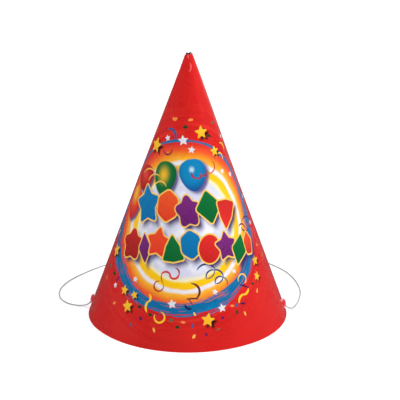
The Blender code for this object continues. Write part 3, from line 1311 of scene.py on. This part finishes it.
def make_tab(label, side, printed, inside, cut):
    """A C-cut tab, curled a little, with a rounded fold along its front edge."""
    bpy.ops.mesh.primitive_grid_add(x_subdivisions=28, y_subdivisions=28, size=2.0)
    tab = active(bpy.context.object, label + "_punched_tab")
    fold = Vector((HINGE_FORWARD, 0.0, -CARD / 2.0))
    frame_here = side_frame(side)
    centre_down = SLOPE - TAB_ABOVE_RIM
    blank = tab.data.uv_layers.new(name="blank")
    flat = {}
    fold_at = HINGE_FORWARD - 0.02 * MM
    for vertex in tab.data.vertices:
        x, y = vertex.co.x, vertex.co.y
        u = x * math.sqrt(1.0 - 0.5 * y * y) * TAB_RADIUS
        v = y * math.sqrt(1.0 - 0.5 * x * x) * TAB_RADIUS
        reach = math.sqrt(max(TAB_RADIUS**2 - v**2, 0.0))
        if u > 0.0 and reach > fold_at:
            u *= fold_at / reach
        curl = 0.018 / MM * (HINGE_FORWARD - u) ** 2
        vertex.co = (u - fold.x, v, curl + CARD / 2.0)
        flat[vertex.index] = (u, v)
    wear = tab.data.uv_layers.new(name="wear")
    for loop in tab.data.loops:
        u, v = flat[loop.vertex_index]
        wear.data[loop.index].uv = (math.hypot(u, v) / TAB_RADIUS, 0.0)
        slope = centre_down + side * v
        turn = side * (math.pi / 2.0 * SIN_A - u / centre_down)
        blank.data[loop.index].uv = blank_uv(turn, slope)
    keep_layers(tab, "blank", "wear")
    give(tab, printed, inside, cut)
    thicken(tab, 2)

    chord = 2.0 * math.sqrt(TAB_RADIUS**2 - HINGE_FORWARD**2)
    bpy.ops.mesh.primitive_cylinder_add(
        vertices=20, radius=CARD / 2.0, depth=chord, rotation=(math.pi / 2.0, 0.0, 0.0)
    )
    crease = apply_place(active(bpy.context.object, label + "_crease"))
    crease.data.uv_layers[0].name = "blank"
    spot = Vector((0.5, 0.55))
    for loop in crease.data.uv_layers["blank"].data:
        loop.uv = spot
    give(crease, printed)
    tab.select_set(True)
    bpy.context.view_layer.objects.active = tab
    crease.select_set(True)
    bpy.ops.object.join()
    tab = active(bpy.context.object, label + "_punched_tab")
    tab.data.transform(Matrix.Rotation(TAB_OPEN, 4, "Y"))
    tab.data.transform(Matrix.Translation(frame_here @ fold) @ frame_here.to_3x3().to_4x4())
    bpy.ops.object.shade_smooth_by_angle(angle=math.radians(35.0))
    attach(tab, label + "_flap")
    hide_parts(label + "_tab")
    return tab


def make_barb(label, side, finish):
    """A small metal pin with domed ends, crimped flat in the middle where it grips the elastic."""
    radius = 0.7 * MM
    half = 5.5 * MM
    bpy.ops.mesh.primitive_cylinder_add(
        vertices=32, radius=radius, depth=2.0 * half, end_fill_type="NGON"
    )
    barb = active(bpy.context.object, label + "_metal_barb")
    bpy.ops.object.mode_set(mode="EDIT")
    mesh = bmesh.from_edit_mesh(barb.data)
    long_edges = [e for e in mesh.edges if abs(e.verts[0].co.z - e.verts[1].co.z) > half]
    bmesh.ops.subdivide_edges(mesh, edges=long_edges, cuts=24)
    bmesh.update_edit_mesh(barb.data)
    bpy.ops.object.mode_set(mode="OBJECT")
    rounding = barb.modifiers.new("domed_ends", "BEVEL")
    rounding.width = 0.45 * MM
    rounding.segments = 5
    rounding.limit_method = "ANGLE"
    rounding.angle_limit = math.radians(60.0)
    apply_modifiers(barb)
    for vertex in barb.data.vertices:
        pinch = math.exp(-((vertex.co.z / (1.1 * MM)) ** 2))
        vertex.co.y *= 1.0 - 0.30 * pinch
        vertex.co.x *= 1.0 + 0.06 * pinch
    barb.data.transform(Matrix.Rotation(math.pi / 2.0, 4, "X"))
    inward = CARD + 0.3 * MM + radius
    centre = Vector((1.0 * MM, 0.0, -inward))
    barb.data.transform(side_frame(side) @ Matrix.Translation(centre))
    bpy.ops.object.shade_smooth_by_angle(angle=math.radians(50.0))
    give(barb, finish)
    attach(barb, "hat")
    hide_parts(label + "_barb")
    return barb


# ---------------------------------------------------------------- table and light


def make_table(finish):
    bpy.ops.mesh.primitive_plane_add(size=12.0, location=(0.0, 0.0, 0.0))
    table = active(bpy.context.object, "white_table_top")
    apply_place(table)
    give(table, finish)


def softbox(name, place, size, power, shine=True, aim=(0.0, 0.0, 0.08)):
    data = bpy.data.lights.new(name, "AREA")
    data.shape = "RECTANGLE"
    data.size, data.size_y = size
    data.energy = power
    lamp = bpy.data.objects.new(name, data)
    lamp.location = place
    lamp.rotation_euler = (Vector(aim) - Vector(place)).to_track_quat("-Z", "Y").to_euler()
    lamp.visible_camera = False
    lamp.visible_glossy = shine
    bpy.context.scene.collection.objects.link(lamp)


def light_studio():
    world = bpy.data.worlds.new("studio")
    bpy.context.scene.world = world
    world.use_nodes = True
    tree = world.node_tree
    tree.nodes.clear()
    seen = node(tree, "ShaderNodeLightPath").outputs["Is Camera Ray"]
    shown = node(tree, "ShaderNodeBackground", {"Color": (1.0, 1.0, 1.0, 1.0), "Strength": 1.0})
    ambient = node(tree, "ShaderNodeBackground", {"Color": (1.0, 1.0, 1.0, 1.0), "Strength": 0.06})
    both = {0: seen, 1: ambient.outputs[0], 2: shown.outputs[0]}
    chosen = node(tree, "ShaderNodeMixShader", both)
    end = tree.nodes.new("ShaderNodeOutputWorld")
    tree.links.new(chosen.outputs[0], end.inputs[0])
    softbox("overhead", (0.0, 0.1, 2.4), (2.6, 2.6), 58.0)
    softbox("front_high", (-0.5, -1.5, 1.9), (1.4, 0.9), 4.0, shine=False)
    softbox("right_key", (1.6, -0.3, 1.0), (0.9, 0.9), 21.0, shine=False)
    softbox("left_fill", (-1.6, -0.4, 1.0), (0.9, 0.9), 6.0, shine=False)
    softbox("right_sweep", (0.75, 1.3, 0.22), (0.36, 0.36), 3.0)
    softbox("left_sweep", (-0.65, 1.3, 0.2), (0.22, 0.32), 1.2)
    bpy.context.scene.view_settings.view_transform = "Standard"
    bpy.context.scene.view_settings.look = "None"


# ---------------------------------------------------------------- build

place_camera()
elastic, elastic_route = make_elastic(elastic_finish())

groups = make_groups()
printed = printed_finish("glossy_printed_card", groups)
tab_print = tab_finish("punched_tab_print", groups)
inside = inside_finish("uncoated_card_inside", groups)
cut = cut_finish("cut_card_edge", groups)

card = make_card(printed, inside, cut)
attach(card, "hat")
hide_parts("cone_card")

for side_label, side_sign in SIDES.items():
    make_tab(side_label, side_sign, tab_print, inside, cut)
barb_metal = metal_finish()
barbs = [make_barb(side_label, side_sign, barb_metal) for side_label, side_sign in SIDES.items()]

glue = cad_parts["seam_glue"]
glue.data.materials.clear()
give(glue, glue_finish())

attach(elastic, "hat")
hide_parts("elastic_cord")

make_table(table_finish())
light_studio()
